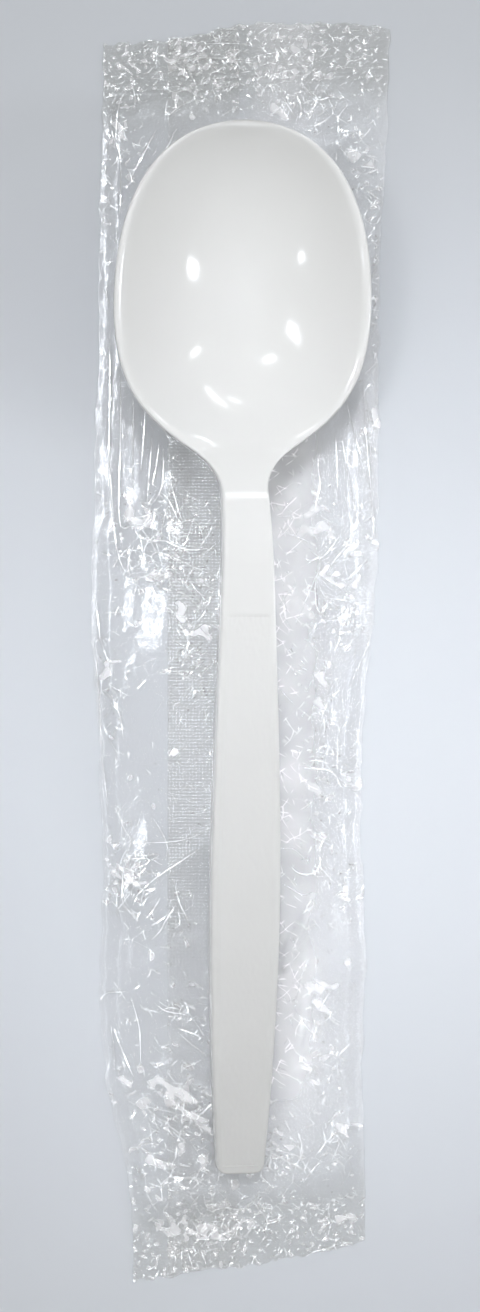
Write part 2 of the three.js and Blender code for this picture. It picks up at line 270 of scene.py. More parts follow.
def spoon_half(s):
    """Sections of the spoon's right half, from the middle of the top over the rim to the underside."""
    half_at, middle_at, sunk_at, thick_at, (back_at, neck_at, crest_at) = spoon_curves(s)
    at, panel, channel = spoon_stations(s, back_at, neck_at, crest_at)
    # The rim's land also runs round the tip, so the dish starts a little behind the edge there.
    dished = np.maximum(0, at - s.land * np.exp(-at / (3 * MM)))
    half = half_at(at)
    sunk = np.where(at < s.widest_at, np.interp(dished, at, sunk_at(at)), sunk_at(at))
    rim = middle_at(at) + sunk_at(at)
    bottom = rim - thick_at(at)
    into = np.clip((at - (s.long - s.edge)) / s.edge, 0, 1)
    shrink = s.edge * (1 - np.sqrt(np.maximum(0, 1 - into ** 2)))
    half, rim, bottom = half - shrink, rim - shrink, bottom + shrink
    edge = np.minimum(s.edge, half / 3)
    inset = np.minimum(s.land + (s.panel_border - s.land) * eased(at, back_at, crest_at), half / 3)
    recess, lift = [
        np.where((at > first + 1e-6) & (at < last - 1e-6), deep, 0.0)
        for (first, last), deep in ((panel, s.panel_depth), (channel, s.depth - s.web))]
    level = half - np.minimum(s.land, half / 3)

    def top(x):
        share = np.where(level > 0, x / np.maximum(level, 1e-9), 1)
        dish = sunk * (1 - share ** s.fullness)
        soft = np.minimum(DISH_FILLET, sunk)
        return rim - (dish + np.sqrt(dish ** 2 + soft ** 2)) / 2

    def under(x):
        share = np.where(half > 0, np.minimum(1, x / np.maximum(half, 1e-9)), 1)
        return bottom - sunk_at(at) * (1 - share ** s.fullness)

    lanes = []
    for f in np.linspace(0, 1, TOP_LANES):
        x = f * (half - inset)
        lanes.append((x, top(x) - recess, recess > 0))
    step = np.minimum(0.45 * MM, inset / 3)
    for f in np.linspace(0, 1, 5):
        x = (half - inset + step) * (1 - f) + (half - edge) * f
        lanes.append((x, top(x), recess < 0))
    crown, foot = top(half - edge), under(half - edge)
    for a in np.linspace(0, math.pi / 2, 6)[1:]:
        lanes.append((half - edge * (1 - math.sin(a)), crown - edge * (1 - math.cos(a)), recess < 0))
    for a in np.linspace(0, math.pi / 2, 5):
        lanes.append((half - edge * (1 - math.cos(a)), foot + edge * (1 - math.sin(a)), recess < 0))
    flange = np.minimum(s.flange, half / 3)
    mouth = half - flange + np.minimum(s.draft, flange / 2)
    for f in np.linspace(0, 1, 4)[1:]:
        x = (half - edge) * (1 - f) + mouth * f
        lanes.append((x, under(x), recess < 0))
    for f in np.linspace(1, 0, 18):
        x = f * (half - flange)
        lanes.append((x, under(x) + lift, recess < 0))
    x = np.stack([lane[0] for lane in lanes], axis=1)
    z = np.stack([lane[1] for lane in lanes], axis=1)
    grip = np.stack([lane[2] for lane in lanes], axis=1)
    y = np.repeat(-at[:, None], x.shape[1], axis=1)
    return np.stack([x, y, z], axis=2), grip, (neck_at, crest_at)


def resting_pose(corners, s, neck_at, crest_at):
    """Rolls the spoon, tips it until bowl and handle end are level, and sets it down."""
    pitch = 0.0
    rolled = Matrix.Rotation(s.roll, 4, "Y") @ Matrix.Rotation(s.yaw, 4, "Z")
    for _ in range(5):
        turn = Matrix.Rotation(pitch, 4, "X") @ rolled
        turned = corners @ np.array(turn.to_3x3()).T
        bowl = turned[corners[:, 1] > -neck_at]
        end = turned[corners[:, 1] < -crest_at]
        bowl, end = bowl[bowl[:, 2].argmin()], end[end[:, 2].argmin()]
        pitch += math.atan2(end[2] - bowl[2], bowl[1] - end[1])
    return Matrix.Translation((s.offset, s.long / 2, s.rest - turned[:, 2].min())) @ turn


class OBJECT_OT_mould_soup_spoon(Operator):
    """Moulds the soup spoon: dished bowl, arched neck and a channelled handle with a pebbled grip"""
    bl_idname = "object.mould_soup_spoon"
    bl_label = "Mould Soup Spoon"

    def execute(self, context):
        s = context.scene.spoon_sizes
        places, grip, (neck_at, crest_at) = spoon_half(s)
        # Moulded pebbles: rounded cells on the sunk panel only, faded out beside its border.
        for j, i in zip(*np.nonzero(grip)):
            x, y, z = places[j, i]
            near = noise.voronoi(Vector((x, y, 0)) / s.pebble)[0][0]
            from_border = places[j, TOP_LANES - 1, 0] - x
            places[j, i, 2] = z + s.pebble_height * (0.5 - near) * min(1, from_border / GRAIN_FADE)
        bm = bmesh.new()
        place_grid(bm, places)
        everything = bm.verts[:] + bm.edges[:] + bm.faces[:]
        bmesh.ops.mirror(bm, geom=everything, axis="X", merge_dist=SAME_PLACE / 2)
        bmesh.ops.remove_doubles(bm, verts=bm.verts, dist=SAME_PLACE)
        bmesh.ops.dissolve_degenerate(bm, edges=bm.edges, dist=SAME_PLACE / 2)
        open_edges = [e for e in bm.edges if e.is_boundary]
        bmesh.ops.holes_fill(bm, edges=open_edges, sides=0)
        bmesh.ops.recalc_face_normals(bm, faces=bm.faces)
        for face in bm.faces:
            face.smooth = True
        for e in bm.edges:
            e.smooth = e.calc_face_angle(0) < SHARP
        corners = np.array([v.co for v in bm.verts])
        bmesh.ops.transform(bm, matrix=resting_pose(corners, s, neck_at, crest_at), verts=bm.verts)
        if any(e.is_boundary for e in bm.edges):
            raise RuntimeError("The spoon's skin isn't closed")
        piece = new_piece("spoon_moulding", bm, moulded_polystyrene(context.scene.finishes))
        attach(piece, "root")
        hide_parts("soup_spoon")
        return {"FINISHED"}


# The film sleeve

# The sleeve's outline as it lies, in millimetres: (y, left x, right x) down its length.
SIDES = (
    (86.7, -18.1, 20.5), (64.6, -18.9, 19.8), (48.6, -19, 18.9), (27.5, -19.4, 19), (8.4, -20, 18.7),
    (0.3, -19.9, 18.2), (-7.7, -19.1, 16.9), (-27.8, -18.4, 16.5), (-45.9, -18.8, 17.2),
    (-57.9, -17.9, 16.7), (-66, -16, 16.8), (-74, -14.5, 16.9), (-87, -14, 17),
)
# The cut ends, in millimetres: (x, y) across each.
BOWL_END = ((-18.1, 83.4), (-11.1, 83.7), (-3, 85.5), (3, 86.3), (14.1, 86.4), (20.1, 85.7))
HANDLE_END = ((-14.1, -86.1), (-5, -84.8), (3, -83.7), (9, -82.7), (13.1, -81.8), (17.1, -80.7))
# Sharp folds of the front ply, in millimetres: half width, then x, y, x, y... along each.
FOLDS = (
    (0.26, -17.7, 44.3, -17.7, 32, -17.9, 26.5, -17.5, 21.6, -17.1, 16.1, -16.5, 12.7, -15.4, 10.8,
     -14.9, 9.4),
    (0.22, -16.2, 38.8, -16.2, 29.2, -16.5, 24.5, -16.5, 18.2, -16, 16.8, -15, 17.4, -14.1, 17.2,
     -13.4, 16.3),
    (0.2, -14.5, 35.8, -14.5, 29.2, -14.6, 22.7, -14.1, 21.6),
    (0.2, -12.8, 34.7, -13.2, 27.9, -13.5, 24.3),
    (0.22, -11.9, 29.5, -12.4, 23.7, -12.7, 19.8, -12.1, 21.1, -11.2, 22),
    (0.2, -10.9, 29.2, -11.3, 25.8, -12, 23, -11.5, 22.2),
    (0.2, -10.4, 28.1, -10.4, 24.5, -10.7, 21.9, -12.3, 20),
    (0.2, -9.6, 24.3, -9.2, 22.8, -8.6, 20.3, -8.1, 18.7, -7.3, 17.4),
    (0.24, -11.2, 22, -10.4, 21.9, -9.4, 20.5, -8.6, 18.6, -7.8, 17.1),
    (0.2, -9.7, 20.3, -10.4, 18.2, -10.9, 15.5),
    (0.2, -14.6, 18.5, -12.8, 18.7, -11.7, 19.3, -10.7, 20.1),
    (0.2, -11.2, 18.5, -9.4, 17.4, -8.1, 16.3, -6.4, 16.3, -5.8, 17.1),
    (0.22, -13.9, 14.8, -12.3, 15.1, -10.4, 15.5, -8.6, 14.6, -6.8, 14, -4.7, 14.2, -3.2, 14.8),
    (0.2, -13.2, 14, -10.8, 13.7, -9, 13.1, -7.5, 12.3, -5.8, 11.6, -4.1, 10.7, -2.6, 10.4),
    (0.2, -14.3, 14.9, -15, 13.4, -15.3, 11.9, -14.7, 9.7),
    (0.24, -15, 9.7, -13.4, 10.3, -12, 10.7, -11.2, 9.3, -10, 8.5, -8.2, 8.4, -6.4, 7.4),
    (0.16, -12.3, 12.5, -10.1, 12.2, -8.8, 11.4, -7.9, 10.3, -7.5, 8.2),
    (0.18, -7, 10.4, -5.3, 9.6, -4, 8.9, -2.7, 8.6),
    (0.16, -7.3, 11.5, -6.8, 10.1, -6, 8.6, -4.9, 7.7, -3.7, 7.7, -2.6, 8.1),
    (0.16, -4.7, 13.7, -3.7, 14.5, -3, 13.7, -3.7, 12.9),
    (0.2, -20.3, 9.4, -19.7, 7.3, -19.3, 4.5, -19, 1.7, -18.2, -0.4, -17.1, -3),
    (0.22, -20.2, 4.2, -19.9, 0.3, -19.4, -3.1, -19.1, -7.2, -19, -12, -18.6, -16.1, -17.9, -21.9),
    (0.18, -17.3, -3.8, -17.7, -2.1, -18.4, -2, -18.8, -3.5, -19, -5.7),
    (0.2, -18.2, -6.9, -17.1, -7.3, -16.2, -8.4, -15.8, -12.3),
    (0.18, -18.7, -9.7, -17.7, -12, -16.8, -13.5, -16, -14.4),
    (0.2, -16.7, -20.7, -16.4, -22.5, -15.6, -24.5, -14.6, -25.6, -15.2, -27.3, -15.8, -28.8),
    (0.18, -14.7, -26, -10.8, -26, -8.1, -25.8, -6, -25.1, -4, -24.3),
    (0.18, -12.1, -22.2, -10.8, -24.1, -9.9, -25.9, -9.6, -28.1),
    (0.2, -16.4, -28.2, -14.9, -28.2, -12.8, -28, -12, -28.5, -13.6, -29.3, -15.6, -30.1),
    (0.2, -14.9, -34.2, -13.9, -33.1, -12, -31.2, -9.2, -29.3, -6.3, -27.4, -4.4, -26.2),
    (0.24, -16.1, -28.8, -15.8, -31.8, -16.1, -34.2, -14.9, -35.5, -13.8, -37),
    (0.2, -10, -30.7, -9, -30.7, -8.5, -32.9, -8.2, -34.4, -7.4, -35.7, -6.7, -37.3),
    (0.2, -10.7, -33.4, -11.7, -35.2, -12.7, -36.4),
    (0.2, -8.5, -34.2, -9.9, -36.3, -10.7, -38.1, -12.1, -39.4),
    (0.2, -18.6, -46.9, -17.5, -46.5, -15.2, -46.4),
    (0.2, -11.5, -48, -10.1, -49.1, -8.2, -49.4, -6.8, -49),
    (0.18, -10.8, -49.1, -9.3, -48.4, -7.8, -49),
    (0.2, -17.6, -50.6, -17.3, -53.2, -17.1, -55.4, -17.1, -57.9),
    (0.22, -17.3, -50.9, -16.4, -53.5, -15.4, -56, -14.3, -58.3),
    (0.16, -14.9, -46.9, -14.2, -49.1, -13.6, -51.3, -13.5, -54, -13.4, -57.6),
    (0.2, -8.8, -51.2, -7, -51.8, -4.8, -52.7),
    (0.18, -8.5, -51.7, -6.7, -53.4, -5.3, -54.4, -4.1, -55.3),
    (0.3, 17.1, 37.4, 17.2, 33.3, 17.5, 27.9, 17.9, 24.3, 18.1, 20.9, 18.6, 17.5, 18.1, 14.8),
    (0.2, 17.6, 37, 17.7, 32, 18, 27.2, 18.3, 23.9, 19, 22.7),
    (0.18, 14.5, 35.8, 15.3, 32, 16.2, 28.4, 17.1, 26.1, 17.9, 23.7),
    (0.18, 13.9, 30.9, 14.5, 26.8, 15.3, 22.3, 16.1, 18.7, 17.1, 15.9),
    (0.16, 13.1, 30.9, 13.4, 26.5, 13.5, 21.5),
    (0.16, 11.4, 28.7, 10.7, 25.8, 11.2, 23.5, 10.7, 20.9, 10.1, 18.6),
    (0.16, 14.3, 22.4, 14.9, 20.3, 15.5, 17.9, 16.1, 16.3),
    (0.18, 10.9, 19, 12.5, 17.9, 14, 17.2),
    (0.16, 4.9, 18.5, 6.4, 18.7, 8.1, 18.9),
    (0.16, 4.9, 16.4, 7, 16.3, 9, 15.5, 10.5, 14.5),
    (0.18, 14.2, 16.4, 12.9, 14.8, 11.9, 13.4, 10.7, 12.7),
    (0.18, 16.4, 15.5, 15, 14.6, 13.9, 13.7, 12.8, 12.3, 12.1, 11.2),
    (0.2, 17.6, 12.9, 16.4, 11.6, 15.3, 10.5, 14.6, 9.6),
    (0.16, 14.2, 13, 14.7, 11.1, 15.1, 9.7),
    (0.16, 10.9, 11.5, 10.5, 9.3, 10.4, 7.3, 10.8, 5.6, 12, 4.2),
    (0.2, 15.7, 6.7, 14, 7.3, 11.7, 7.5),
    (0.2, 15.7, 6.6, 14.2, 5.6, 12.4, 4.4),
    (0.2, 15.7, 6.4, 14.9, 4.5, 13.8, 2.7),
    (0.2, 15.7, 6.3, 15.5, 4.4, 16, 2.5),
    (0.18, 16.5, 5.1, 17.7, 5.6, 19.1, 4.8),
    (0.18, 18.1, 2.3, 17.1, -0.4, 16.1, -2.1, 15.4, -4.1),
    (0.16, 17.6, 1.3, 16.8, -1, 16, -2.8),
    (0.16, 4.9, -4.1, 6.3, -5.8, 7.8, -7.3),
    (0.22, 7.9, -15.4, 9.7, -16, 11.6, -15.8, 12.9, -16.4, 13.6, -17.5, 14.2, -19),
    (0.18, 8.9, -15, 10.8, -14.6, 12.7, -15.4),
    (0.16, 11.4, -12.1, 12.7, -13.1, 13.1, -14.3, 11.9, -13.5),
    (0.16, 5.1, -27.1, 7, -26.6, 8.3, -27.4, 9.2, -28.5),
    (0.22, 6.8, -28.9, 8.2, -30.4, 10.4, -30.3, 11.2, -28.8, 11.1, -27.4),
    (0.2, 10.9, -29, 12, -30.4, 13.2, -31.6),
    (0.16, 5.3, -31.2, 7.2, -32.3, 8.7, -33.3, 10.3, -32.7),
    (0.16, 10.9, -49, 12, -47.2, 12.7, -45.8),
    (0.18, 8.9, -72.5, 10, -70.7, 11.2, -69.6),
    (0.16, -15, 64.6, -13.8, 67.2, -12.8, 69.1),
    (0.18, -14.2, 66, -12.3, 69.9, -11.2, 71.8),
    (0.18, -10.9, 67.4, -9.7, 69.6, -8.5, 72),
    (0.2, -9.9, 73.3, -8.3, 74.8, -6.6, 75.7),
    (0.2, -13.8, 86.5, -13.2, 85, -13.1, 83.5),
    (0.22, -16.2, 76.3, -16.7, 73.5, -16.8, 71, -17.2, 68.8),
    (0.2, -16.2, 67.4, -16.2, 63.5, -16.4, 59.7),
    (0.18, 2.5, 84.8, 3.5, 85.5, 4.6, 86.2),
    (0.16, 5.5, 85.8, 7, 85.5, 8.5, 86.1),
    (0.2, 8.2, 77.2, 9, 77.7, 9.7, 76.6, 10.8, 75.9),
    (0.2, 11.2, 77.7, 12, 76.6, 12.5, 75.3, 13.1, 74.4),
    (0.18, 5.9, 76.3, 7, 74.6, 7.9, 73.1),
    (0.18, -14.9, 78.3, -14.2, 76.5, -14.3, 74.6),
    (0.16, -8.3, 81.4, -4, 81.7, 1.8, 81.3),
    (0.16, -7, 83.3, -2.3, 83.7, 3.1, 83.3),
    (0.22, -9, -81.8, -8.8, -82.9, -8.6, -84),
    (0.24, -7.1, -82, -6.7, -83.3, -6.3, -84.5),
    (0.24, -5.2, -82, -4.8, -83.1, -4.4, -84.2),
    (0.24, -11.7, -86.3, -11.5, -85.6, -10.9, -84.6),
    (0.2, 13.4, -79.3, 13.2, -81.5, 11.7, -81.8, 10, -82.3, 8.6, -83.3),
    (0.2, -13.5, -67.4, -12.1, -67, -10.7, -67.4),
    (0.18, -13.4, -68.2, -12, -68.5, -10.8, -68.4),
    (0.18, -18, 50.5, -18.3, 49.2, -17.7, 47.4),
    (0.18, -18.6, 50.1, -18.2, 48.6),
    (0.18, -16.9, 58.3, -16.7, 57.2, -16.9, 55.9),
)
# Flats that a fold lifts, in millimetres: x, y, x, y of the ridge, width left and right of it, height.
TENTS = (
    (-10.6, -1.1, -9.3, 10, 4.2, 1, 0.92), (-14.2, 2.4, -13.9, 10.8, 1.7, 0.4, 0.37),
    (-15.9, -10.9, -16.7, -6.5, 1.1, 0.4, 0.24), (-10.8, 16.2, -10.6, 18.9, 2, 0.6, 0.42),
    (6.2, -42.8, 10.8, -34.2, 1.4, 0.8, 0.42), (15.1, 2.9, 15.5, 7.4, 1.5, 0.5, 0.42),
    (-15.1, -34.8, -14.7, -27.8, 1.5, 0.6, 0.33), (-7.3, -0.1, -3.6, -1.6, 1.2, 0.4, 0.28),
    (-8.4, -4.9, -5.2, -5.3, 1.4, 0.5, 0.32),
)
# Crushed places, in millimetres: x, y, reach across, reach along, strength.
CRUSHED = (
    (-10.1, 14.8, 6.9, 8.2, 1), (-6, 7.3, 4.4, 6.9, 0.8), (-6, -1.7, 3.8, 5.2, 0.8),
    (-17.5, -7.2, 2.2, 8.2, 0.7), (-14.6, -31.5, 3.3, 6.6, 1), (-10.1, -37.4, 3.8, 4.1, 0.6),
    (-9.4, -49.1, 5.5, 2.2, 0.6), (-16.1, -54.6, 2.7, 5.8, 0.5), (9.7, 18.2, 5.8, 8.2, 0.75),
    (11.1, 7.3, 7.1, 8.5, 0.7), (14.7, 4.5, 3.6, 5.8, 0.8), (11.1, -6.5, 5.8, 8.2, 0.65),
    (11.1, -15.4, 6, 4.7, 0.85), (11.9, -27.8, 4.9, 8.5, 0.75), (9.7, -47.7, 5.5, 9.6, 0.65),
    (1.5, 81.1, 20.6, 5.8, 0.95), (9.7, 75.9, 5.8, 3.8, 1), (-16.4, 71.2, 2.7, 7.7, 0.85),
    (15.3, 71.2, 4.4, 6.3, 0.8), (-8.1, -63.5, 8.5, 8.2, 0.75), (5.6, -69.7, 6, 4.9, 0.95),
    (0.1, -78.2, 15.3, 4.7, 1), (-8.1, -71.4, 8.8, 4.1, 0.85), (14.6, -31.2, 2.2, 8.2, 0.7),
    (12, -57, 5, 7, 0.75), (13, -68, 4.5, 6, 0.85), (18.2, 55, 2.2, 13, 0.75), (18.2, 34, 2, 8, 0.65),
    (-18.8, 62, 2, 10, 0.75),
)
# The unrolled web's legs in order: fin, back ply and turned edge, front ply, and the same on the right.
LEGS = range(7)
LEFT_FIN, LEFT_BACK, LEFT_TURN, FRONT, RIGHT_TURN, RIGHT_BACK, RIGHT_FIN = LEGS
# The web's mesh, in millimetres: length, how far its rows reach from the middle, width of the front ply.
WEB_LONG, ROW_REACH, FRONT_WIDE = 170, 84.5, 38
# The long edges, in millimetres: bulge, height of their wobble, its (length, noise row) left and right.
BULGE, WOBBLE, WOBBLES = 0.3, 0.35, ((2.5, 1.5), (2.2, 4.5))
# The cut ends, in millimetres: width and height of the knife's teeth, size and height of the raggedness.
TOOTH, TOOTH_TALL, RAG, RAG_TALL = 1.4, 0.2, 1.3, 0.5
# Creased reliefs, coarse to fine and then pleats: spacing in millimetres, stretch along, sharpness.
RELIEFS = ((9.0, 1.4, 1.2), (4.2, 1.2, 1.3), (1.9, 1.1, 1.4), (2.6, 7.0, 1.1))
# They reach this far from the middle, across and along, in millimetres, and their points stray by this share.
RELIEF_WIDE, RELIEF_LONG, STRAY = 26, 94, 0.48
# Under the spoon each of the first legs stays this far under the next one, in millimetres.
PLY_STEP = 0.12
# The folds go round in this many fields, and a fold reaches four of its half widths.
FIELDS, FOLD_REACH = 6, 4.0


def rounded(points):
    """A line of points with its corners cut twice."""
    for _ in range(2):
        cut = [0.75 * points[:-1] + 0.25 * points[1:], 0.25 * points[:-1] + 0.75 * points[1:]]
        points = np.concatenate([points[:1], np.stack(cut, axis=1).reshape(-1, 2), points[-1:]])
    return points


def beside(line, x, y):
    """Signed distance of many places from a line, left of it positive, and their share along it."""
    steps = np.diff(line, axis=0)
    spans = np.hypot(*steps.T)
    starts = np.concatenate([[0], np.cumsum(spans)])
    nearest, along = np.full(x.shape, 99.0), np.zeros(x.shape)
    for corner, step, span, start in zip(line, steps, spans, starts):
        across, up = x - corner[0], y - corner[1]
        share = np.clip((across * step[0] + up * step[1]) / span ** 2, 0, 1)
        away = np.hypot(across - share * step[0], up - share * step[1])
        closer = away < np.abs(nearest)
        nearest = np.where(closer, np.where(step[0] * up < step[1] * across, -away, away), nearest)
        along = np.where(closer, (start + share * span) / starts[-1], along)
    return nearest, along


def fold_fields(x, y):
    """Signed distances from the folds, in half widths; neighbouring folds go to different fields."""
    fields = np.full((FIELDS, *x.shape), FOLD_REACH)
    for number, fold in enumerate(FOLDS):
        line = rounded(np.array(fold[1:]).reshape(-1, 2))
        low, high = line.min(axis=0) - 1, line.max(axis=0) + 1
        near = (x > low[0]) & (x < high[0]) & (y > low[1]) & (y < high[1])
        away, along = beside(line, x[near], y[near])
        half_width = fold[0] * np.sqrt(np.maximum(0.1, np.sin(along * math.pi)))
        scaled = np.clip(away / half_width, -FOLD_REACH, FOLD_REACH)
        field = fields[number % FIELDS]
        field[near] = np.where(np.abs(scaled) < np.abs(field[near]), scaled, field[near])
    return fields


def tents(x, y):
    """Height of the lifted flats and how far each place belongs to one."""
    height, cover = np.zeros(x.shape), np.zeros(x.shape)
    ragged = clouds(x, y, 1.8, 3) - 0.5
    for ax, ay, bx, by, left, right, tall in TENTS:
        away, along = beside(np.array([[ax, ay], [bx, by]]), x, y)
        away, along = away + 0.35 * ragged, along + 0.25 * ragged
        slope = np.clip(np.where(away > 0, 1 - away / left, 1 + away / right), 0, 1)
        ends = eased(along, 0, 0.12) * (1 - eased(along, 0.88, 1))
        height = np.maximum(height, tall * slope * ends)
        cover = np.maximum(cover, eased(slope, 0, 0.15))
    return height, cover


def crushing(x, y):
    """How much the film was crushed at many places, from 0 to 1."""
    spots = [strength * np.exp(-((x - a) / across) ** 2 - ((y - b) / along) ** 2)
             for a, b, across, along, strength in CRUSHED]
    return np.max(spots, axis=0)


def facets(spacing, stretch, seed, sharpness):
    """Creased relief up to 1 high: random points joined into flat facets, as a tree to cast rays at."""
    random = np.random.default_rng(seed)
    dx, dy = spacing, spacing * stretch
    across, along = np.meshgrid(
        np.arange(-RELIEF_WIDE, RELIEF_WIDE + dx, dx), np.arange(-RELIEF_LONG, RELIEF_LONG + dy, dy))
    x = (across + random.uniform(-STRAY, STRAY, across.shape) * dx).ravel()
    y = (along + random.uniform(-STRAY, STRAY, along.shape) * dy).ravel()
    tall = random.uniform(-1, 1, x.shape)
    tall = np.sign(tall) * np.abs(tall) ** sharpness
    flat = [Vector((a, b)) for a, b in zip(x, y / stretch)]
    points, _, faces, sources, _, _ = delaunay_2d_cdt(flat, [], [], 0, 1e-6)
    corners = [Vector((p.x, p.y * stretch, tall[origin[0]])) for p, origin in zip(points, sources)]
    return BVHTree.FromPolygons(corners, faces)


def relief(tree, x, y):
    """Heights of a creased relief at many places."""
    down = Vector((0, 0, -1))
    hits = [tree.ray_cast(Vector((a, b, 9)), down)[0] for a, b in zip(x.ravel(), y.ravel())]
    return np.array([hit.z if hit else 0.0 for hit in hits]).reshape(x.shape)


def clouds(x, y, size, seed):
    """Soft random cover from 0 to 1, with patches of about that size."""
    spots = [noise.noise(Vector((a / size, b / size, seed * 3.7))) for a, b in zip(x.ravel(), y.ravel())]
    return np.clip(np.array(spots).reshape(x.shape) * 1.3 + 0.5, 0, 1)


def sleeve_layout(s):
    """Columns across the unrolled web: shares along its legs, and the legs' numbers."""
    fin = np.concatenate([np.linspace(0, 0.98, 14), [0.99, 1]])
    back = np.concatenate([[0, 0.004], np.linspace(0.02, 0.98, 32), [0.996, 1]])
    front = np.linspace(0, 1, max(60, round(FRONT_WIDE * MM / s.pitch_across)))
    turn = np.linspace(0, 1, 5)[1:-1]
    legs = [fin, back, turn, front, turn, back, fin]
    shares = np.concatenate(legs)
    number = np.concatenate([np.full(len(leg), k) for k, leg in enumerate(legs)])
    return shares, number


class OBJECT_OT_fold_film_sleeve(Operator):
    """Folds a web of clear film into the emptied sleeve: back fin, crimped ends and crumpled front"""
    bl_idname = "object.fold_film_sleeve"
    bl_label = "Fold Film Sleeve"

    def execute(self, context):
        s = context.scene.film_sizes
        spoon = bpy.data.objects.get("spoon_moulding")
        if spoon is None:
            raise RuntimeError("The sleeve is fitted under the spoon, so the spoon comes first")
        shares, leg = sleeve_layout(s)
        sides = np.array(SIDES)[::-1]
        rows = round(WEB_LONG * MM / s.pitch_along) + 1
        along = np.repeat(np.linspace(-1, 1, rows)[:, None], len(shares), axis=1)
        middle = along * ROW_REACH
        left = np.interp(middle, sides[:, 0], sides[:, 1])
        right = np.interp(middle, sides[:, 0], sides[:, 2])
        wave = np.array([[noise.noise(Vector((m / size, seed, 0))) for m in middle[:, 0]]
                         for size, seed in WOBBLES])
        left, right = left + WOBBLE * wave[0][:, None], right + WOBBLE * wave[1][:, None]
        fin = s.fin / MM
        shares = np.repeat(shares[None, :], rows, axis=0)
        leg = np.repeat(leg[None, :], rows, axis=0)
        bulge = np.sin(shares * math.pi) * BULGE
        x = np.select(
            [leg == number for number in LEGS],
            [-fin * (1 - shares), left * shares, left - bulge, left + (right - left) * shares,
             right + bulge, right * (1 - shares), -fin * shares],
        )
        # The cut ends are skewed and a little ragged, with the fine teeth of the knife.
        rag = np.array([noise.noise(Vector((a, 5.5, 0))) + 0.6 * noise.noise(Vector((a * 2.7, 9.1, 0)))
                        for a in x[0] / RAG])
        teeth = TOOTH_TALL * np.abs((x / TOOTH) % 2 - 1) + RAG_TALL * rag[None, :]
        far, near = np.array(BOWL_END), np.array(HANDLE_END)
        bowl_end = np.interp(x, far[:, 0], far[:, 1]) + teeth
        handle_end = np.interp(x, near[:, 0], near[:, 1]) - teeth
        y = handle_end + (bowl_end - handle_end) * (along + 1) / 2
        heights = self.heights(s, spoon, x, y, leg, shares, left, right, bowl_end, handle_end)
        bm = bmesh.new()
        place_grid(bm, np.stack([x, y, heights], axis=2) * MM)
        bmesh.ops.recalc_face_normals(bm, faces=bm.faces)
        for face in bm.faces:
            face.smooth = True
        # The fin's folds are sharp.
        bm.verts.index_update()
        ends = [np.nonzero((leg[0, :-1] == a) & (leg[0, 1:] == b))[0]
                for a, b in ((LEFT_FIN, LEFT_BACK), (RIGHT_BACK, RIGHT_FIN))]
        before = np.concatenate(ends)
        folds = {*before, *(before + 1)}
        for e in bm.edges:
            column, other = [v.index % x.shape[1] for v in e.verts]
            e.smooth = column != other or column not in folds
        piece = new_piece("film_sleeve", bm, blown_film(context.scene.finishes, s))
        self.mark_seals(piece.data, s, x, y, leg, bowl_end, handle_end)
        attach(piece, "root")
        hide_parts("film_wrapper")
        return {"FINISHED"}

    def heights(self, s, spoon, x, y, leg, shares, left, right, bowl_end, handle_end):
        """Height of every corner of the web, in millimetres."""
        ply, crimp = s.ply / MM, s.crimp / MM
        from_end = np.minimum(bowl_end - y, y - handle_end)
        sealed = 1 - eased(from_end, crimp * 0.75, crimp * 1.5)
        from_side = np.minimum(x - left, right - x)
        tucked = eased(from_side, 0, 2.5)
        broad, medium, small, pleats = [
            relief(facets(spacing, stretch, s.seed + number, sharpness), x, y)
            for number, (spacing, stretch, sharpness) in enumerate(RELIEFS)]
        busy = crushing(x, y)
        lifted, calm = tents(x, y)
        # The back ply lies on the table, and the fin under it.
        wavy = np.maximum(0, 0.25 * broad + 0.22 * medium + 0.1 * small) * (1 - 0.6 * sealed)
        back = wavy + ply * 3
        # The front ply stands over it, slack beside the handle and pressed flat in the end seals.
        slack = s.loft / MM * (0.35 + 0.65 * eased(-y, -26, 4)) * tucked * (1 - sealed)
        crumple = 0.5 * broad + (0.12 + 0.4 * busy) * medium + 0.22 * busy * small
        pleated = np.exp(-((np.abs(x) - 14) / 6) ** 2) * np.exp(-((y - 25) / 16) ** 2)
        crumple = (crumple * (1 - 0.8 * pleated) + 0.5 * pleated * pleats) * (1 - 0.9 * calm)
        crumple = crumple * (0.25 + 0.75 * tucked) * (1 - 0.75 * sealed) + 0.2 * sealed * small + lifted
        front = back + ply + np.maximum(0, slack + crumple)
        turning = back + (front - back) * np.where(leg == LEFT_TURN, shares, 1 - shares)
        joined = back - ply * 2 * eased(shares, 0.6, 1)
        height = np.select(
            [leg == number for number in LEGS],
            [wavy + ply * 2, back, turning, front, turning, joined, wavy + ply],
        )
        # Nothing of it comes through the spoon.
        tree = BVHTree.FromObject(spoon, bpy.context.evaluated_depsgraph_get())
        up = Vector((0, 0, 1))
        for j, i in np.ndindex(height.shape):
            hit = tree.ray_cast(Vector((x[j, i], y[j, i], -5)) * MM, up)[0]
            if hit:
                below = PLY_STEP * (FRONT - min(FRONT, leg[j, i]))
                height[j, i] = min(height[j, i], (hit.z - s.clear) / MM - below)
        return height

    def mark_seals(self, mesh, s, x, y, leg, bowl_end, handle_end):
        """Writes the film's marks: seals, crushed places, painted shade, milky haze and painted light, folds,
        web.
        """
        unrolled = np.cumsum(np.abs(np.diff(x, axis=1, prepend=x[:, :1])), axis=1)
        from_end = np.minimum(bowl_end - y, y - handle_end)
        ribbed = 1 - eased(from_end, s.crimp / MM * 0.8, s.crimp / MM)
        fin = (leg == LEFT_FIN) | (leg == RIGHT_FIN)
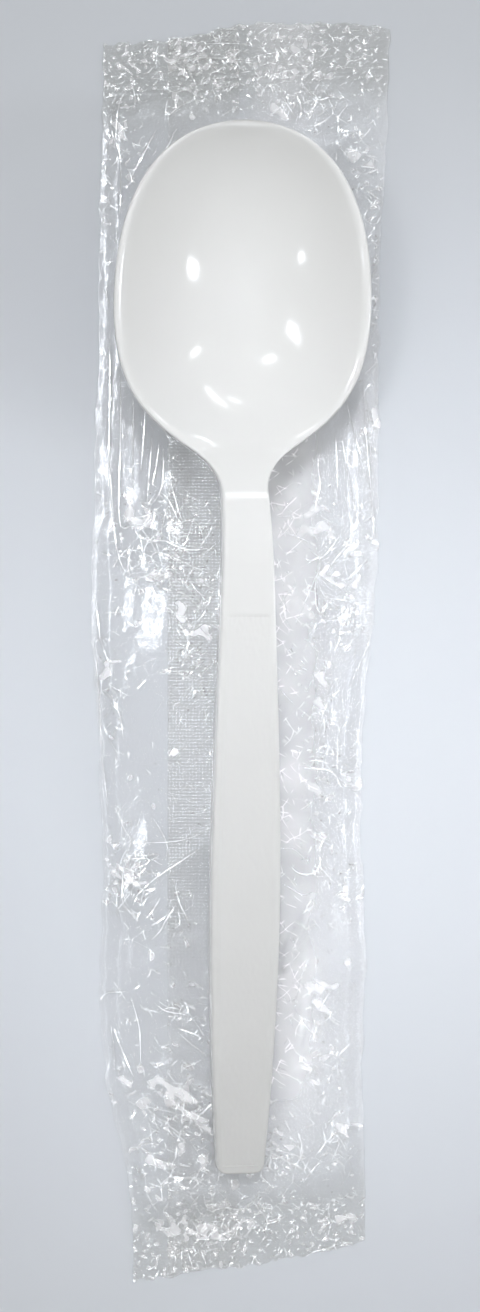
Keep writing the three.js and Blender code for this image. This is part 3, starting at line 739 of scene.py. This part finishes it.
        # The fin's dots fade out towards both of its ends.
        knurled = np.where(fin, 1.0, 0.0) * eased(y, -52, -30) * eased(-y, -78, -60)
        web = np.stack([unrolled, y, np.zeros_like(x)], axis=2) * MM
        ends = 1 - eased(from_end, 6, 14)
        crushed = crushing(x, y) * np.where(leg == FRONT, 1, 0.6) + 0.3 * clouds(unrolled, y, 6, s.seed + 5)
        crushed = np.maximum(crushed, ends * (0.5 + 0.4 * clouds(unrolled, y, 4, s.seed + 7)))
        # Painted shade: the ends, darker at the bowl's end, the crushed places and the fin are tinted grey.
        end_painted_grey = np.where(fin, 0, np.where(y > 0, 0.85, 0.45)) * ends
        painted_grey = np.minimum(1, 0.15 * crushed + end_painted_grey + 0.65 * knurled)
        # The front ply is slack, and milky, on the right of the handle.
        slack = eased(x, 0, 4) * eased(y, -80, -50) * (1 - 0.6 * eased(y, 35, 60)) * (leg == FRONT)
        # Milky haze, partly real and partly painted light: it is strongest beside the handle, lightening the
        # spoon's shadow.
        milky_and_lightened = slack * (0.7 + 0.3 * clouds(x, y, 5, s.seed + 6)) * (1 - 0.7 * eased(x, 7, 13))
        crushed -= 0.1 * slack
        marks = {"ribbed": ribbed, "knurled": knurled, "crushed": crushed, "milky_and_lightened": milky_and_lightened, "painted_grey": painted_grey}
        for name, values in marks.items():
            mesh.attributes.new(name, "FLOAT", "POINT").data.foreach_set("value", values.ravel())
        # Signed distances stay sharp on a coarse mesh; a guard keeps false lines from where signs flip.
        fields = np.moveaxis(fold_fields(np.where(leg == FRONT, x, 999), y), 0, 2)
        guards = np.maximum(0, np.abs(fields) - 2)
        vectors = {"web": web, "fold_a": fields[..., :3], "fold_b": fields[..., 3:],
                   "guard_a": guards[..., :3], "guard_b": guards[..., 3:]}
        for name, values in vectors.items():
            mesh.attributes.new(name, "FLOAT_VECTOR", "POINT").data.foreach_set("vector", values.ravel())


# Materials

def add_node(tree, kind, inputs=(), **settings):
    """Adds a node with its settings; each input gets a value, a link to a socket or to a node's first one."""
    node = tree.nodes.new(kind)
    for key, value in settings.items():
        setattr(node, key, value)
    for socket, value in dict(inputs).items():
        if isinstance(value, bpy.types.Node):
            value = value.outputs[0]
        if isinstance(value, bpy.types.NodeSocket):
            tree.links.new(value, node.inputs[socket])
        else:
            node.inputs[socket].default_value = value
    return node


def new_material(name):
    """An empty node material and its output node."""
    material = bpy.data.materials.new(name)
    material.use_nodes = True
    material.node_tree.nodes.clear()
    return material, material.node_tree, add_node(material.node_tree, "ShaderNodeOutputMaterial")


def per(mm):
    """Texture scale that gives features of that size."""
    return 1 / (mm * MM)


def moulded_polystyrene(finishes):
    """White polystyrene, injection moulded: a clean gloss with slow waves of sink and flow in it."""
    material, tree, out = new_material("moulded_polystyrene_white")
    place = add_node(tree, "ShaderNodeTexCoord").outputs["Object"]
    flow = add_node(tree, "ShaderNodeTexNoise", {
        "Vector": place, "Scale": per(9), "Detail": 3.0,
    }).outputs["Fac"]
    rough = add_node(tree, "ShaderNodeMapRange", {
        "Value": flow, "From Min": 0.3, "From Max": 0.7, "To Min": 0.07, "To Max": 0.12,
    })
    shade = add_node(tree, "ShaderNodeMix", {
        "Factor": flow, "A": (*finishes.plastic, 1), "B": (*[0.965 * c for c in finishes.plastic], 1),
    }, data_type="RGBA")
    sink = add_node(tree, "ShaderNodeBump", {"Height": flow, "Strength": 0.15, "Distance": 0.1 * MM})
    shader = add_node(tree, "ShaderNodeBsdfPrincipled", {
        "Base Color": shade.outputs["Result"], "Roughness": rough, "IOR": 1.59, "Normal": sink,
    })
    tree.links.new(shader.outputs["BSDF"], out.inputs["Surface"])
    return material


# Networks of fine creases: gate, cell in millimetres, stretch, turn in degrees, half width in millimetres,
# level where the gate opens, random value above which a facet flashes as a painted glint, then a line's
# brightness, the painted shade of its flanks and its whiteness, partly stress whitening, partly painted
# glint.
CREASES = (
    ("worn", 3.4, 2.4, 62, 0.1, 1.36, 1, 0.6, 0.6, 0), ("worn", 2.0, 2.4, -38, 0.08, 1.44, 0.74, 0.6, 0.6, 0),
    ("flecked", 1.1, 1.8, 12, 0.075, 2.6, 0.55, 1, 0.4, 0), ("slack", 2.4, 3, 38, 0.075, 1.56, 1, 0, 0, 0.45),
    ("slack", 1.5, 2.6, -50, 0.065, 1.62, 1, 0, 0, 0.4),
)
# Their gates: size in millimetres and gain of a random cover, and the film's marks that raise or lower it.
GATES = {
    "worn": (1.6, 1.7, {"crushed": 1, "painted_grey": -0.5}),
    "flecked": (0.8, 2.6, {"crushed": 1, "painted_grey": 0.35}),
    "slack": (1.6, 1.7, {"milky_and_lightened": 1}),
}
# A gate opens over this much, and a fine crease is this tall for its half width.
GATE_SOFT, CREASE_TALL = 0.25, 0.3


def seal_patterns(tree, web, marks, s):
    """Ribs of the end seals and dots of the fin, both a little coarser than they are, to show."""
    waves = []
    for pitch, way in ((s.rib, "Y"), (s.knurl, "Y"), (s.knurl, "X")):
        wave = add_node(tree, "ShaderNodeTexWave", {
            "Vector": web, "Scale": 2 * math.pi / (20 * pitch),
        }, bands_direction=way)
        waves.append(wave.outputs["Fac"])
    dots = add_node(tree, "ShaderNodeMath", {0: waves[1], 1: waves[2]}, operation="MULTIPLY")
    return [add_node(tree, "ShaderNodeMath", {0: pattern, 1: marks[mark]}, operation="MULTIPLY")
            for pattern, mark in ((waves[0], "ribbed"), (dots, "knurled"))]


def near_fold(tree):
    """Distance from the nearest sharp fold, in half widths."""
    sets = []
    for names in (("fold_a", "guard_a"), ("fold_b", "guard_b")):
        signed, guard = [add_node(tree, "ShaderNodeAttribute", attribute_name=name).outputs["Vector"]
                         for name in names]
        away = add_node(tree, "ShaderNodeVectorMath", {0: signed}, operation="ABSOLUTE")
        sets.append(add_node(tree, "ShaderNodeVectorMath", {0: away, 1: guard}, operation="ADD"))
    near = add_node(tree, "ShaderNodeVectorMath", {0: sets[0], 1: sets[1]}, operation="MINIMUM")
    parts = add_node(tree, "ShaderNodeSeparateXYZ", {"Vector": near}).outputs
    near = add_node(tree, "ShaderNodeMath", {0: parts["X"], 1: parts["Y"]}, operation="MINIMUM")
    return add_node(tree, "ShaderNodeMath", {0: near, 1: parts["Z"]}, operation="MINIMUM")


def crease_gates(tree, web, marks):
    """Where each kind of fine crease shows."""
    gates = {}
    for gate, (size, gain, raised) in GATES.items():
        cover = add_node(tree, "ShaderNodeTexNoise", {
            "Vector": web, "Scale": per(size), "Detail": 0.0,
        }, noise_dimensions="2D").outputs["Fac"]
        gates[gate] = add_node(tree, "ShaderNodeMath", {0: cover, 1: gain}, operation="MULTIPLY")
        for mark, share in raised.items():
            gates[gate] = add_node(tree, "ShaderNodeMath", {0: marks[mark], 1: share, 2: gates[gate]},
                                   operation="MULTIPLY_ADD")
    return gates


def fine_creases(tree, web, gates, height, line, shade):
    """Adds broken networks of thin ridges to relief, lines and painted shade; gives painted glints and
    whitening.
    """
    drift = add_node(tree, "ShaderNodeTexNoise", {"Vector": web, "Scale": per(3), "Detail": 1.0},
                     noise_dimensions="2D")
    wander = add_node(tree, "ShaderNodeVectorMath", {
        0: drift.outputs["Color"], 1: (0.6 * MM, 0.6 * MM, 0), 2: web,
    }, operation="MULTIPLY_ADD")
    flash = whitening_and_glints = 0.0
    for gate, size, stretch, turn, half_width, low, bare, bright, dark, white in CREASES:
        shown = add_node(tree, "ShaderNodeMapRange", {
            "Value": gates[gate], "From Min": low, "From Max": low + GATE_SOFT,
        })
        drawn_out = add_node(tree, "ShaderNodeMapping", {
            "Vector": wander, "Rotation": (0, 0, math.radians(turn)), "Scale": (stretch, 1, 1),
        }, vector_type="TEXTURE")
        edges = add_node(tree, "ShaderNodeTexVoronoi", {"Vector": drawn_out, "Scale": per(size)},
                         feature="DISTANCE_TO_EDGE", voronoi_dimensions="2D").outputs["Distance"]
        # Painted shade: each ridge's flanks tint the film darker, out to three half widths.
        ridge, painted_flank = [add_node(tree, "ShaderNodeMapRange", {
            "Value": edges, "From Max": reach / size, "To Min": most, "To Max": 0.0,
        }) for reach, most in ((half_width, 1.0), (3 * half_width, dark))]
        ridge, painted_flank = [add_node(tree, "ShaderNodeMath", {0: part, 1: shown}, operation="MULTIPLY")
                        for part in (ridge, painted_flank)]
        # Painted glints: random flat facets are painted white, as if they caught a light.
        tilted = add_node(tree, "ShaderNodeTexVoronoi", {"Vector": drawn_out, "Scale": per(size)},
                          voronoi_dimensions="2D", distance="MANHATTAN").outputs["Color"]
        facet = add_node(tree, "ShaderNodeMath", {0: tilted, 1: bare}, operation="GREATER_THAN")
        faint = add_node(tree, "ShaderNodeMath", {0: ridge, 1: bright}, operation="MULTIPLY")
        line, shade = [add_node(tree, "ShaderNodeMath", {0: part, 1: whole}, operation="MAXIMUM")
                       for part, whole in ((faint, line), (painted_flank, shade))]
        # A line's whitening is partly stress whitening and partly a painted glint.
        height, flash, whitening_and_glints = [
            add_node(tree, "ShaderNodeMath", {0: part, 1: gain, 2: whole}, operation="MULTIPLY_ADD")
            for part, gain, whole in ((ridge, CREASE_TALL * half_width, height), (facet, shown, flash),
                                      (ridge, white, whitening_and_glints))]
    return height, line, shade, flash, whitening_and_glints


def blown_film(finishes, s):
    """Clear polypropylene film: see-through, with a sharp gloss from its two faces and fine creases."""
    material, tree, out = new_material("blown_polypropylene_film_clear")
    web = add_node(tree, "ShaderNodeAttribute", attribute_name="web").outputs["Vector"]
    marks = {name: add_node(tree, "ShaderNodeAttribute", attribute_name=name).outputs["Fac"]
             for name in ("ribbed", "knurled", "crushed", "milky_and_lightened", "painted_grey")}
    ribs, dots = seal_patterns(tree, web, marks, s)
    waves = add_node(tree, "ShaderNodeTexNoise", {"Vector": web, "Scale": per(0.9), "Detail": 2.0},
                     noise_dimensions="2D").outputs["Fac"]
    # A sharp fold is a thin ridge with straight flanks, which flashes as a bright line with painted dark
    # sides.
    near = near_fold(tree)
    line, shade = [add_node(tree, "ShaderNodeMapRange", {
        "Value": near, "From Max": reach, "To Min": most, "To Max": 0.0,
    }) for reach, most in ((0.55, 1.0), (2.5, 0.6))]
    height = 0.0
    for part, tall in ((ribs, 0.05), (dots, 0.04), (waves, 0.09), (line, 0.033)):
        height = add_node(tree, "ShaderNodeMath", {0: part, 1: tall, 2: height}, operation="MULTIPLY_ADD")
    speck = add_node(tree, "ShaderNodeMath", {0: dots, 1: 0.2}, operation="MULTIPLY")
    line = add_node(tree, "ShaderNodeMath", {0: speck, 1: line}, operation="MAXIMUM")
    gates = crease_gates(tree, web, marks)
    height, line, shade, flash, whitening_and_glints = fine_creases(tree, web, gates, height, line, shade)
    bump = add_node(tree, "ShaderNodeBump", {"Height": height, "Distance": MM})
    # Both faces of a ply mirror alike, more at a grazing angle, and the lines of creases most.
    facing = add_node(tree, "ShaderNodeLayerWeight", {"Blend": 0.5}).outputs["Facing"]
    grazing = add_node(tree, "ShaderNodeMath", {0: facing, 1: 5.0}, operation="POWER")
    mirror = add_node(tree, "ShaderNodeMath", {0: grazing, 1: 0.45, 2: 0.05}, operation="MULTIPLY_ADD")
    mirror = add_node(tree, "ShaderNodeMath", {0: line, 1: 0.85, 2: mirror},
                      operation="MULTIPLY_ADD", use_clamp=True)
    # Painted shade where seals, handled film, the fin and crease flanks turn light away; the fin's dots stay
    # light.
    shade = add_node(tree, "ShaderNodeMath", {0: shade, 1: marks["painted_grey"]}, operation="ADD")
    shade = add_node(tree, "ShaderNodeMath", {0: dots, 1: -0.9, 2: shade},
                     operation="MULTIPLY_ADD", use_clamp=True)
    tint = add_node(tree, "ShaderNodeMix", {
        "Factor": shade, "A": (*finishes.film, 1), "B": (*finishes.film_shade, 1),
    }, data_type="RGBA")
    # The slack side is milky, partly painted light; facets are painted white as glints, less where milky or
    # shaded.
    whitening_and_glints = add_node(tree, "ShaderNodeMath", {0: whitening_and_glints, 1: 0.02}, operation="ADD")
    cloudy = add_node(tree, "ShaderNodeMath", {0: marks["milky_and_lightened"], 1: 0.5, 2: whitening_and_glints}, operation="MULTIPLY_ADD")
    white = add_node(tree, "ShaderNodeMath", {0: marks["milky_and_lightened"], 1: -0.34, 2: 0.4}, operation="MULTIPLY_ADD")
    white = add_node(tree, "ShaderNodeMath", {0: marks["painted_grey"], 1: -0.1, 2: white},
                     operation="MULTIPLY_ADD", use_clamp=True)
    cloudy = add_node(tree, "ShaderNodeMath", {0: flash, 1: white, 2: cloudy},
                      operation="MULTIPLY_ADD", use_clamp=True)
    clear = add_node(tree, "ShaderNodeBsdfTransparent", {"Color": tint.outputs["Result"]})
    gloss = add_node(tree, "ShaderNodeBsdfAnisotropic", {
        "Color": (1, 1, 1, 1), "Roughness": 0.16, "Normal": bump,
    })
    haze = add_node(tree, "ShaderNodeBsdfDiffuse", {"Color": (0.93, 0.91, 0.905, 1)})
    body = add_node(tree, "ShaderNodeMixShader", {"Fac": cloudy, 1: clear, 2: haze})
    shader = add_node(tree, "ShaderNodeMixShader", {"Fac": mirror, 1: body, 2: gloss})
    tree.links.new(shader.outputs[0], out.inputs["Surface"])
    return material


def pale_board(finishes):
    """Pale matt board: even, with a very faint mottle."""
    material, tree, out = new_material("pale_matt_board")
    place = add_node(tree, "ShaderNodeTexCoord").outputs["Object"]
    mottle = add_node(tree, "ShaderNodeTexNoise", {"Vector": place, "Scale": per(40), "Detail": 4.0})
    shade = add_node(tree, "ShaderNodeMix", {
        "Factor": mottle.outputs["Fac"],
        "A": (*finishes.floor, 1), "B": (*[0.97 * c for c in finishes.floor], 1),
    }, data_type="RGBA")
    shader = add_node(tree, "ShaderNodeBsdfPrincipled", {
        "Base Color": shade.outputs["Result"], "Roughness": 0.6, "Specular IOR Level": 0.2,
    })
    tree.links.new(shader.outputs["BSDF"], out.inputs["Surface"])
    return material


# The stage

# Light panels of a room, where the bowl mirrors them:
# (azimuth from +X, angle from straight up, degrees wide, degrees long, radiance).
PANELS = (
    (350, 58, 7, 22, 7), (25, 54, 6, 16, 3.5), (167, 30, 12, 14, 4.7), (200, 43, 4.5, 9, 4.75),
    (109, 27, 18, 6, 3.26), (55, 58, 22, 1.6, 6), (69.4, 53.8, 9, 1.2, 4.1),
)
BOWL = Vector((0, 47 * MM, 4 * MM))
PANEL_AWAY = 0.45
# Louvres keep their light in a pool beside the handle. A narrower beam is brighter for the same power.
LOUVRE_BEAM, LOUVRE_GAIN = math.radians(22), 39.4
POOL = Vector((20 * MM, -16 * MM, 0))
# In the middle of each panel is a bare tube, this much brighter, that is seen from everywhere.
TUBE, TUBE_GAIN = 0.45, 4
# A lamp beyond the bowl makes most of the pool, and no gloss shows it.
FILL_AT, FILL_SIZE, FILL_RADIANCE = Vector((5 * MM, 0.24, 0.42)), 0.07, 33
# A soft light close to the bowl, on the spoon only, that fades along the handle.
BOWL_LIGHT, BOWL_POWER, BOWL_BEAM = Vector((0.03, 0.04, 0.27)), 0.0195, math.radians(44)
BOWL_LIGHT_AIM, BOWL_LIGHT_SIZE = BOWL * 1.6, 0.08
# Strips that shine on the sleeve only, so that creases flash from every side:
# (azimuth, angle from straight up, metres across and along, radiance).
FILM_AWAY = 0.6
FILM_LIGHTS = (
    (0, 34, 0.6, 0.2, 1.1), (90, 34, 0.6, 0.2, 1.1), (180, 34, 0.6, 0.2, 1.4), (270, 34, 0.6, 0.2, 0.9),
    (167, 28, 0.12, 0.12, 11),
)
# Half the floor's side, in metres, and the camera's sensor in millimetres and place over the sleeve.
FLOOR_REACH, SENSOR, CAMERA_AT = 4, 36.0, (0.13 * MM, -0.46 * MM)
# Rays pass every ply of the sleeve, also at a flat angle.
CLEAR_BOUNCES = 24


def soft_room():
    """A plain room: a bright ceiling that falls off towards the walls."""
    world = bpy.data.worlds.new("soft_room")
    world.use_nodes = True
    tree = world.node_tree
    tree.nodes.clear()
    facing = add_node(tree, "ShaderNodeTexCoord").outputs["Generated"]
    up = add_node(tree, "ShaderNodeSeparateXYZ", {"Vector": facing}).outputs["Z"]
    bright = add_node(tree, "ShaderNodeMapRange", {
        "Value": up, "From Min": 0.3, "From Max": 1.0, "To Min": 0.44, "To Max": 0.75,
    })
    light = add_node(tree, "ShaderNodeBackground", {
        "Color": (*to_linear("F1F2F3"), 1), "Strength": bright,
    })
    add_node(tree, "ShaderNodeOutputWorld", {"Surface": light})
    return world


def hang_light(name, place, target, wide, long, power, spread=math.pi):
    """An area light that faces the target."""
    data = bpy.data.lights.new(name, "AREA")
    data.shape = "RECTANGLE"
    data.size, data.size_y = wide, long
    data.energy, data.spread = power, spread
    data.color = to_linear("F5F9FF")
    light = bpy.data.objects.new(name, data)
    light.location = place
    light.rotation_euler = (place - target).to_track_quat("Z", "Y").to_euler()
    light.visible_camera = False
    bpy.context.scene.collection.objects.link(light)
    return light


def seen_at(azimuth, tilt):
    """Direction at these angles, in degrees."""
    towards = Vector((math.sin(math.radians(tilt)), 0, math.cos(math.radians(tilt))))
    towards.rotate(Matrix.Rotation(math.radians(azimuth), 3, "Z"))
    return towards


def hang_panel(name, azimuth, tilt, wide, long, radiance):
    """A louvred panel with a bare tube in it, seen from the bowl at these angles."""
    place = BOWL + seen_at(azimuth, tilt) * PANEL_AWAY
    wide, long = [2 * PANEL_AWAY * math.tan(math.radians(angle / 2)) for angle in (wide, long)]
    area = wide * long * math.pi
    hang_light(name, place, POOL, wide, long, radiance * area / LOUVRE_GAIN, LOUVRE_BEAM)
    power = TUBE_GAIN * radiance * TUBE ** 2 * area
    hang_light(name + "_tube", place, BOWL, TUBE * wide, TUBE * long, power)


class SCENE_OT_set_stage(Operator):
    """Sets the pale floor, the soft light panels and the camera that looks straight down"""
    bl_idname = "scene.set_stage"
    bl_label = "Set Stage"

    def execute(self, context):
        s = context.scene.stage_sizes
        bm = bmesh.new()
        bmesh.ops.create_grid(bm, x_segments=4, y_segments=4, size=FLOOR_REACH)
        new_piece("floor", bm, pale_board(context.scene.finishes))
        for number, panel in enumerate(PANELS):
            hang_panel(f"panel_{number}", *panel)
        power = FILL_RADIANCE * FILL_SIZE ** 2 * math.pi / LOUVRE_GAIN
        fill = hang_light("fill", FILL_AT, POOL, FILL_SIZE, FILL_SIZE, power, LOUVRE_BEAM)
        fill.visible_glossy = False
        lit = {}
        for name in ("film_sleeve", "spoon_moulding"):
            piece = bpy.data.objects.get(name)
            if piece is None:
                raise RuntimeError("Some lights shine on one piece only, so the pieces come first")
            lit[name] = bpy.data.collections.new("lit_" + name)
            lit[name].objects.link(piece)
        near = hang_light("bowl_light", BOWL_LIGHT, BOWL_LIGHT_AIM, BOWL_LIGHT_SIZE, BOWL_LIGHT_SIZE,
                          BOWL_POWER, BOWL_BEAM)
        near.visible_glossy = False
        near.light_linking.receiver_collection = lit["spoon_moulding"]
        for number, (azimuth, tilt, wide, long, radiance) in enumerate(FILM_LIGHTS):
            place, power = seen_at(azimuth, tilt) * FILM_AWAY, radiance * wide * long * math.pi
            lamp = hang_light(f"film_{number}", place, Vector(), wide, long, power)
            lamp.light_linking.receiver_collection = lit["film_sleeve"]
        context.scene.world = soft_room()
        context.scene.view_settings.view_transform = "Standard"
        context.scene.cycles.transparent_max_bounces = CLEAR_BOUNCES
        data = bpy.data.cameras.new("overhead")
        data.lens, data.sensor_width, data.clip_start = s.lens, SENSOR, 0.01
        away = s.view_long / 2 * s.lens / (SENSOR / 2)
        camera = bpy.data.objects.new("overhead", data)
        camera.location = (*CAMERA_AT, s.view_height + away)
        context.scene.collection.objects.link(camera)
        context.scene.camera = camera
        return {"FINISHED"}


class VIEW3D_PT_tableware(Panel):
    """Lists the pieces and the stage"""
    bl_label = "Soup Spoon on Film"
    bl_idname = "VIEW3D_PT_tableware"
    bl_space_type = "VIEW_3D"
    bl_region_type = "UI"
    bl_category = "Tableware"

    def draw(self, context):
        for kind in OPERATORS:
            self.layout.operator(kind.bl_idname)
        for name in GROUPS:
            box = self.layout.box()
            group = getattr(context.scene, name)
            for key in group.__annotations__:
                box.prop(group, key)


GROUPS = {
    "spoon_sizes": SpoonSizes, "film_sizes": FilmSizes, "finishes": Finishes, "stage_sizes": StageSizes,
}
OPERATORS = (OBJECT_OT_mould_soup_spoon, OBJECT_OT_fold_film_sleeve, SCENE_OT_set_stage)


def register():
    for kind in (*GROUPS.values(), *OPERATORS, VIEW3D_PT_tableware):
        bpy.utils.register_class(kind)
    for name, kind in GROUPS.items():
        setattr(bpy.types.Scene, name, PointerProperty(type=kind))


def unregister():
    for name in GROUPS:
        delattr(bpy.types.Scene, name)
    for kind in reversed((*GROUPS.values(), *OPERATORS, VIEW3D_PT_tableware)):
        bpy.utils.unregister_class(kind)


def main():
    register()
    bpy.ops.object.mould_soup_spoon()
    bpy.ops.object.fold_film_sleeve()
    bpy.ops.scene.set_stage()


if __name__ == "__main__":
    main()
